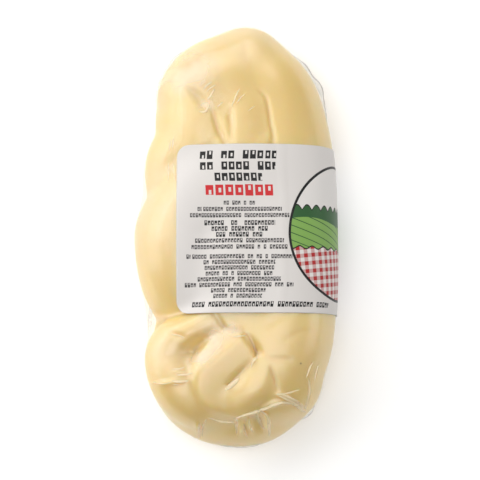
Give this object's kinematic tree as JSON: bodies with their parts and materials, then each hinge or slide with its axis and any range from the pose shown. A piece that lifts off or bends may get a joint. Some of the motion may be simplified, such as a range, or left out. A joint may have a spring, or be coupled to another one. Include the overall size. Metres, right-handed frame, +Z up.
{
  "type": "braided cheese in a vacuum film",
  "caption": "Long plaited loaf of fresh stretched-curd cheese, sealed in tight clear film, lying flat with a plain printed paper label wrapped over its top and one side.",
  "frame": {"origin": "centre of the footprint, on the surface that the cheese rests on", "axes": "+X across the braid towards the side that the label wraps down, +Y along the braid towards the plain rounded end, +Z up"},
  "size_m": [0.0898, 0.1852, 0.0478],
  "materials": {
    "clear_film": "clear glossy film drawn tight over the curd",
    "cheese": "moist smooth stretched curd, pale cream yellow, slightly translucent",
    "label_paper": null
  },
  "bodies": {
    "root": {"sealed_braid": "clear_film", "label": "label_paper"}
  },
  "joints": []
}
